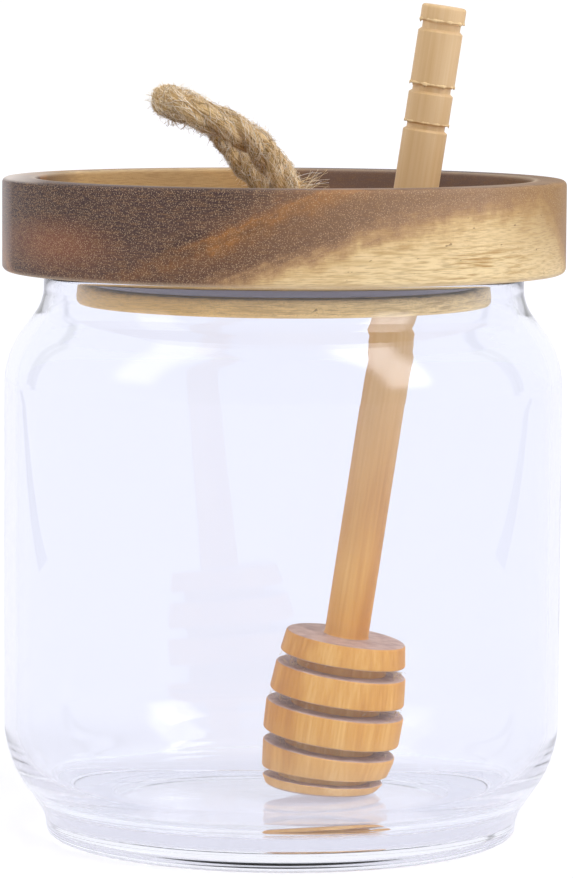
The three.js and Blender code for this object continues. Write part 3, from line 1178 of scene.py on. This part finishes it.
def lit_floor():
    """A white table under the jar."""
    bm = bmesh.new()
    bmesh.ops.create_circle(bm, cap_ends=True, segments=96, radius=FLOOR_RADIUS)
    floor = made_object("floor", bm)
    made, tree, shader = started(
        "white_table",
        Base_Color="#a8a8ac",
        Roughness=1.0,
        Specular_IOR_Level=0.0,
        Emission_Strength=0.6,
    )
    # White to the eye, and a little lilac where the glass shows it
    direct = add(tree, "LightPath", {}).outputs["Is Camera Ray"]
    glow = add(
        tree,
        "Mix",
        {"Factor": direct, COLOUR_A: LILAC_WHITE, COLOUR_B: "#ffffff"},
        data_type="RGBA",
    )
    connect(tree, shader, {"Emission Color": glow})
    floor.data.materials.append(made)


# Grey strips on the table, as near and far ends, that draw soft lines near the edges of the glass
STRIPS = [((-0.42, 0.15), (-0.86, 0.84)), ((0.47, 0.043), (1.04, 0.6))]
STRIP_WIDTH = 0.06
STRIP_LIFT = 0.001


def table_strips():
    """Strips that show only where the glass mirrors them."""
    tape, _, _ = started("grey_tape", Base_Color="#8a8a90", Roughness=1.0)
    for number, (near, far) in enumerate(STRIPS):
        along = Vector(far) - Vector(near)
        aside = along.orthogonal().normalized() * STRIP_WIDTH / 2
        bm = bmesh.new()
        ends = [bm.verts.new((*(Vector(near) + side), STRIP_LIFT)) for side in (aside, -aside)]
        bm.edges.new(ends)
        grown = bmesh.ops.extrude_edge_only(bm, edges=bm.edges[:])["geom"]
        moved = [item for item in grown if isinstance(item, bmesh.types.BMVert)]
        bmesh.ops.translate(bm, vec=(*along, 0), verts=moved)
        strip = made_object(f"table_strip_{number}", bm)
        strip.data.materials.append(tape)
        strip.visible_camera = False
        strip.visible_diffuse = False
        strip.visible_shadow = False
        strip.visible_transmission = False


# Soft edges of a tall window and of a dark flag: which way, and where they begin and end
ACROSS, AHEAD, UP = range(3)
WINDOW_EDGES = [(ACROSS, 0.22, 0.1), (AHEAD, 0.0, -0.1), (UP, 0.25, 0.42), (UP, 0.97, 0.85)]
FLAG_EDGES = [(ACROSS, 0.06, 0.02), (AHEAD, 0.0, -0.1)]

# Their angles in degrees to the right of the camera's side, and how dark or bright they are
FLAG_TURNS = [114, -128]
FLAG_DARKNESS = 0.65
WINDOWS = [(56, 7.2), (-68, 2.8)]
MIRRORED_WINDOW = 0.5

# The surroundings' brightness, and a little less of it above and behind the camera
AROUND = 1.06
BEHIND = 0.8
BEHIND_HEADING = (0, -0.8, 0.6)


def soft_shape(tree, heading, turn, edges, strength):
    """A shape with soft edges in the surroundings, at an angle in degrees."""
    turned_heading = add(tree, "Mapping", {"Vector": heading, "Rotation": (0, 0, -math.radians(turn))})
    across, ahead, up = add(tree, "SeparateXYZ", {"Vector": turned_heading}).outputs
    ways = (add(tree, "Math", {0: across}, operation="ABSOLUTE"), ahead, up)
    made = strength
    for way, outer, inner in edges:
        edge = add(
            tree,
            "MapRange",
            {"Value": ways[way], "From Min": outer, "From Max": inner},
            interpolation_type="SMOOTHSTEP",
        )
        made = add(tree, "Math", {0: edge, 1: made}, operation="MULTIPLY")
    return made


def light_scene():
    """White surroundings with two windows and two dark flags."""
    world = bpy.data.worlds.new("studio")
    scene.world = world
    world.use_nodes = True
    tree = world.node_tree
    shade = tree.nodes["Background"]
    heading = add(tree, "TexCoord", {}).outputs["Generated"]
    path = add(tree, "LightPath", {}).outputs
    facing = add(tree, "VectorMath", {0: heading, 1: BEHIND_HEADING}, operation="DOT_PRODUCT")
    behind = facing.outputs["Value"]
    around = add(
        tree,
        "MapRange",
        {"Value": behind, "From Min": 0.3, "From Max": 0.9, "To Min": AROUND, "To Max": BEHIND},
        interpolation_type="SMOOTHSTEP",
    )
    # Dark flags beside the backdrop draw lines near the edges of the glass
    flag = add(tree, "MapRange", {"Value": path["Is Camera Ray"], "To Min": FLAG_DARKNESS, "To Max": 0})
    flags = [soft_shape(tree, heading, turn, FLAG_EDGES, flag) for turn in FLAG_TURNS]
    dark = add(tree, "Math", {0: flags[0], 1: flags[1]}, operation="ADD")
    kept = add(tree, "Math", {0: 1, 1: dark}, operation="SUBTRACT")
    flagged = add(tree, "Math", {0: around, 1: kept}, operation="MULTIPLY")
    # Two windows light the wood, and show less brightly where the glass mirrors them
    shown = add(tree, "MapRange", {"Value": path["Diffuse Depth"], "To Min": MIRRORED_WINDOW})
    lights = [soft_shape(tree, heading, turn, WINDOW_EDGES, power) for turn, power in WINDOWS]
    windows = add(tree, "Math", {0: lights[0], 1: lights[1]}, operation="ADD")
    strength = add(tree, "Math", {0: windows, 1: shown, 2: flagged}, operation="MULTIPLY_ADD")
    # White to the eye, and a little cooler in the glass
    white = add(
        tree,
        "Mix",
        {"Factor": path["Is Camera Ray"], COLOUR_A: COOL_WHITE, COLOUR_B: "#ffffff"},
        data_type="RGBA",
    )
    connect(tree, shade, {"Strength": strength, "Color": white})
    scene.view_settings.view_transform = "Standard"


def let_light_through_glass():
    """Lets light turn often inside the glass before it comes out, so that its edges aren't black."""
    scene.cycles.max_bounces = 32
    scene.cycles.transmission_bounces = 24
    scene.cycles.glossy_bounces = 13
    scene.cycles.blur_glossy = 0


set_camera()
rope_piece = rope()
fibre_pieces = rope_fibres()
dipper()
groove_lips()
groove_burrs()
jar()
lid()
seal()
lit_floor()
table_strips()
light_scene()
let_light_through_glass()
